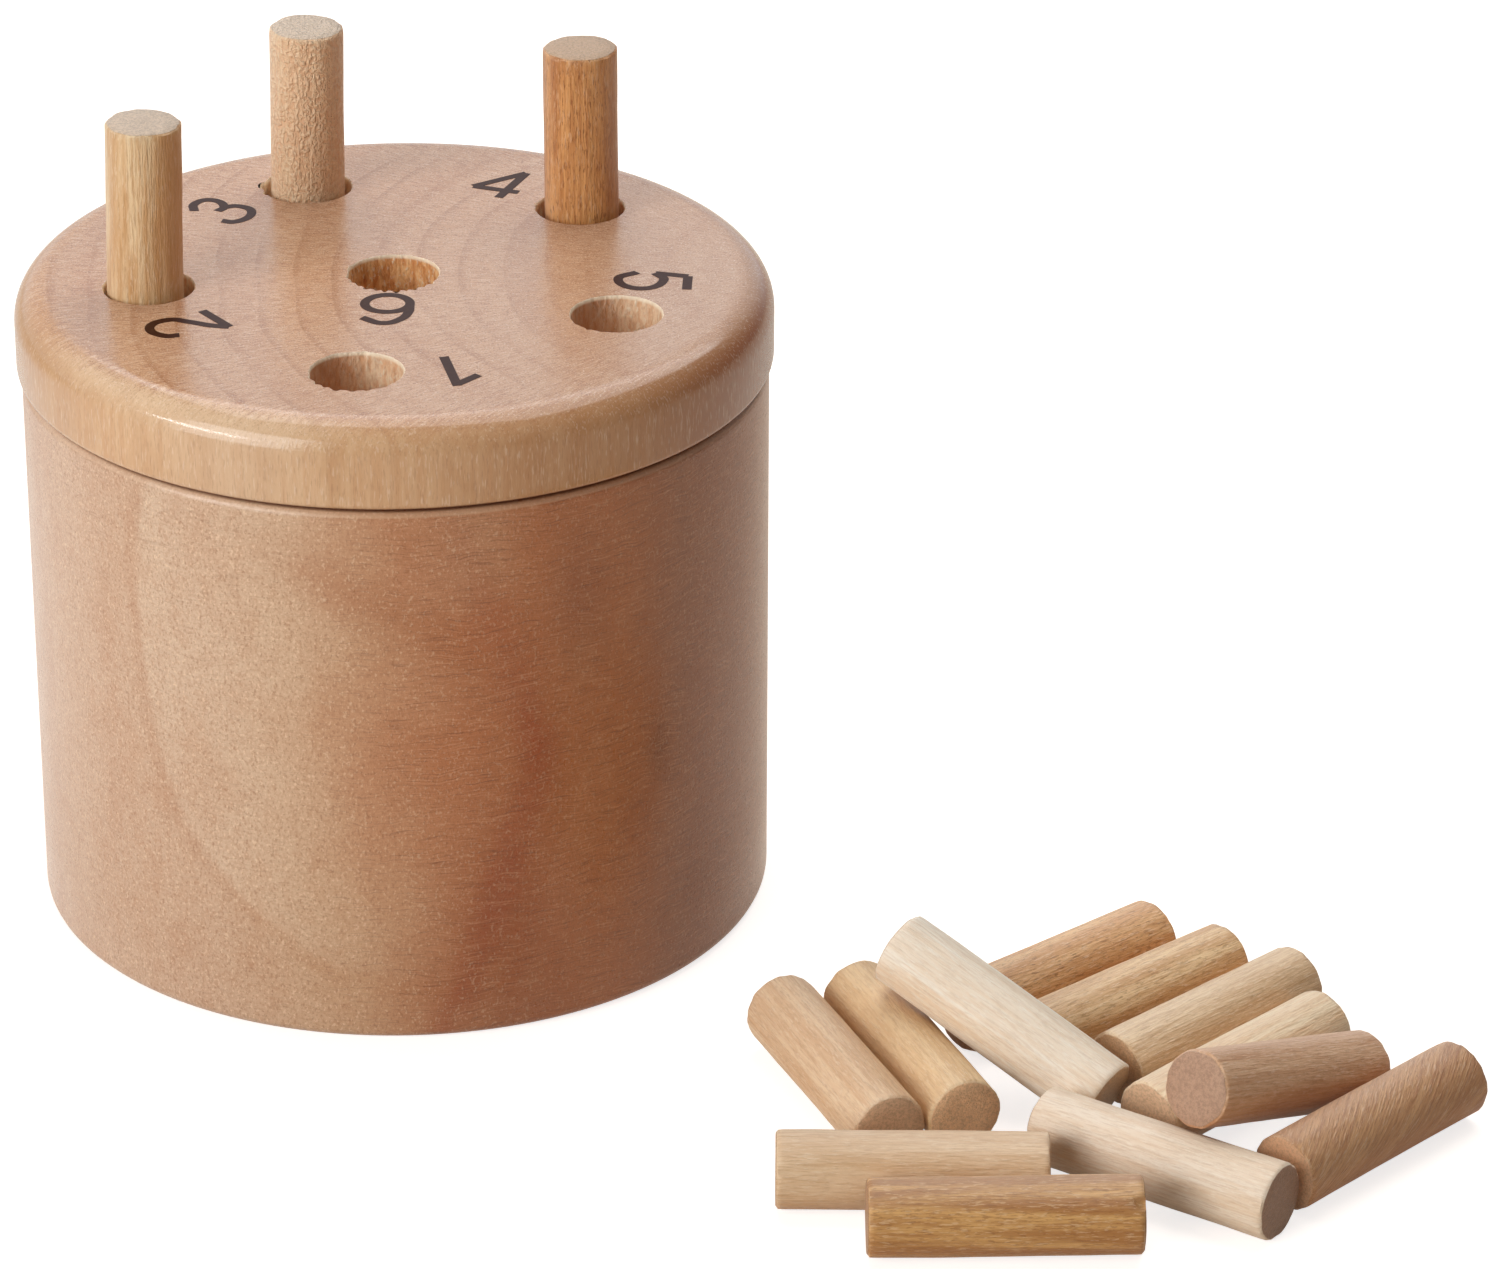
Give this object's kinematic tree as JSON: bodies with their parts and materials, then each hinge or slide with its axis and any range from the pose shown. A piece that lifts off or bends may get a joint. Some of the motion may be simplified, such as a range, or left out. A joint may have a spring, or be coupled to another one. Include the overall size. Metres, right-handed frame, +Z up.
{
  "type": "wooden peg and die game in a cup with a plug lid",
  "caption": "Turned wooden cup with a plug lid that has numbered peg holes, with wooden pegs standing in it, lying beside it and stored inside with a die.",
  "frame": {"origin": "middle of the cup's flat base, on the face it stands on", "axes": "+Z up along the cup's axis, -Y towards the side the numerals are read from, +X towards the heap of pegs"},
  "size_m": [0.151, 0.1236, 0.0877],
  "materials": {
    "wood_cup": "clear satin varnish over plain-sawn tan wood with reddish flames",
    "wood_lid": "glossy clear varnish over pinkish beige wood, black printed numerals on top",
    "wood_peg_honey": "bare sanded wood, light honey, fine grain along the peg",
    "wood_peg_cream": "bare sanded wood, pale cream, fine grain along the peg",
    "wood_peg_tan": "bare sanded wood, tan brown with darker flecks, grain along the peg",
    "wood_die": "bare sanded wood with rounded edges and dark painted pips"
  },
  "bodies": {
    "cup": {"cup": "wood_cup"},
    "lid": {"lid": "wood_lid"},
    "die": {"die": "wood_die"},
    "standing_peg_2": {"standing_peg_2": "wood_peg_honey"},
    "standing_peg_3": {"standing_peg_3": "wood_peg_tan"},
    "standing_peg_4": {"standing_peg_4": "wood_peg_tan"},
    "loose_peg_1": {"loose_peg_1": "wood_peg_tan"},
    "loose_peg_2": {"loose_peg_2": "wood_peg_honey"},
    "loose_peg_3": {"loose_peg_3": "wood_peg_cream"},
    "loose_peg_4": {"loose_peg_4": "wood_peg_tan"},
    "loose_peg_5": {"loose_peg_5": "wood_peg_tan"},
    "loose_peg_6": {"loose_peg_6": "wood_peg_honey"},
    "loose_peg_7": {"loose_peg_7": "wood_peg_honey"},
    "loose_peg_8": {"loose_peg_8": "wood_peg_tan"},
    "loose_peg_9": {"loose_peg_9": "wood_peg_tan"},
    "loose_peg_10": {"loose_peg_10": "wood_peg_cream"},
    "loose_peg_11": {"loose_peg_11": "wood_peg_honey"},
    "loose_peg_12": {"loose_peg_12": "wood_peg_tan"},
    "stored_peg_1": {"stored_peg_1": "wood_peg_cream"},
    "stored_peg_2": {"stored_peg_2": "wood_peg_tan"},
    "stored_peg_3": {"stored_peg_3": "wood_peg_honey"},
    "stored_peg_4": {"stored_peg_4": "wood_peg_cream"},
    "stored_peg_5": {"stored_peg_5": "wood_peg_tan"},
    "stored_peg_6": {"stored_peg_6": "wood_peg_honey"},
    "stored_peg_7": {"stored_peg_7": "wood_peg_cream"},
    "stored_peg_8": {"stored_peg_8": "wood_peg_tan"},
    "stored_peg_9": {"stored_peg_9": "wood_peg_honey"}
  },
  "joints": [
    {"name": "lid_lift", "type": "slide", "parent": "cup", "child": "lid", "axis": [0, 0, 1], "range_m": [0, 0.06]},
    {"name": "standing_peg_2_pull", "type": "slide", "parent": "lid", "child": "standing_peg_2", "axis": [0.0227, 0, 0.9997], "range_m": [0, 0.04]},
    {"name": "standing_peg_3_pull", "type": "slide", "parent": "lid", "child": "standing_peg_3", "axis": [0.0175, 0, 0.9998], "range_m": [0, 0.04]},
    {"name": "standing_peg_4_pull", "type": "slide", "parent": "lid", "child": "standing_peg_4", "axis": [0, 0, 1], "range_m": [0, 0.04]},
    {"name": "loose_peg_1_lift", "type": "slide", "parent": "cup", "child": "loose_peg_1", "axis": [0, 0, 1], "range_m": [0, 0.075]},
    {"name": "loose_peg_2_lift", "type": "slide", "parent": "cup", "child": "loose_peg_2", "axis": [0, 0, 1], "range_m": [0, 0.075]},
    {"name": "loose_peg_3_lift", "type": "slide", "parent": "loose_peg_2", "child": "loose_peg_3", "axis": [0, 0, 1], "range_m": [0, 0.075]},
    {"name": "loose_peg_4_lift", "type": "slide", "parent": "cup", "child": "loose_peg_4", "axis": [0, 0, 1], "range_m": [0, 0.075]},
    {"name": "loose_peg_5_lift", "type": "slide", "parent": "cup", "child": "loose_peg_5", "axis": [0, 0, 1], "range_m": [0, 0.075]},
    {"name": "loose_peg_6_lift", "type": "slide", "parent": "cup", "child": "loose_peg_6", "axis": [0, 0, 1], "range_m": [0, 0.075]},
    {"name": "loose_peg_7_lift", "type": "slide", "parent": "cup", "child": "loose_peg_7", "axis": [0, 0, 1], "range_m": [0, 0.075]},
    {"name": "loose_peg_8_lift", "type": "slide", "parent": "loose_peg_10", "child": "loose_peg_8", "axis": [0, 0, 1], "range_m": [0, 0.075]},
    {"name": "loose_peg_9_lift", "type": "slide", "parent": "cup", "child": "loose_peg_9", "axis": [0, 0, 1], "range_m": [0, 0.075]},
    {"name": "loose_peg_10_lift", "type": "slide", "parent": "cup", "child": "loose_peg_10", "axis": [0, 0, 1], "range_m": [0, 0.075]},
    {"name": "loose_peg_11_lift", "type": "slide", "parent": "cup", "child": "loose_peg_11", "axis": [0, 0, 1], "range_m": [0, 0.075]},
    {"name": "loose_peg_12_lift", "type": "slide", "parent": "cup", "child": "loose_peg_12", "axis": [0, 0, 1], "range_m": [0, 0.075]},
    {"name": "stored_peg_1_lift", "type": "slide", "parent": "cup", "child": "stored_peg_1", "axis": [0, 0, 1], "range_m": [0, 0.017]},
    {"name": "stored_peg_2_lift", "type": "slide", "parent": "cup", "child": "stored_peg_2", "axis": [0, 0, 1], "range_m": [0, 0.017]},
    {"name": "stored_peg_3_lift", "type": "slide", "parent": "cup", "child": "stored_peg_3", "axis": [0, 0, 1], "range_m": [0, 0.017]},
    {"name": "stored_peg_4_lift", "type": "slide", "parent": "cup", "child": "stored_peg_4", "axis": [0, 0, 1], "range_m": [0, 0.017]},
    {"name": "stored_peg_5_lift", "type": "slide", "parent": "cup", "child": "stored_peg_5", "axis": [0, 0, 1], "range_m": [0, 0.017]},
    {"name": "stored_peg_6_lift", "type": "slide", "parent": "cup", "child": "stored_peg_6", "axis": [0, 0, 1], "range_m": [0, 0.017]},
    {"name": "stored_peg_7_lift", "type": "slide", "parent": "cup", "child": "stored_peg_7", "axis": [0, 0, 1], "range_m": [0, 0.017]},
    {"name": "stored_peg_8_lift", "type": "slide", "parent": "cup", "child": "stored_peg_8", "axis": [0, 0, 1], "range_m": [0, 0.017]},
    {"name": "stored_peg_9_lift", "type": "slide", "parent": "cup", "child": "stored_peg_9", "axis": [0, 0, 1], "range_m": [0, 0.017]},
    {"name": "die_lift", "type": "slide", "parent": "cup", "child": "die", "axis": [0, 0, 1], "range_m": [0, 0.032]}
  ]
}
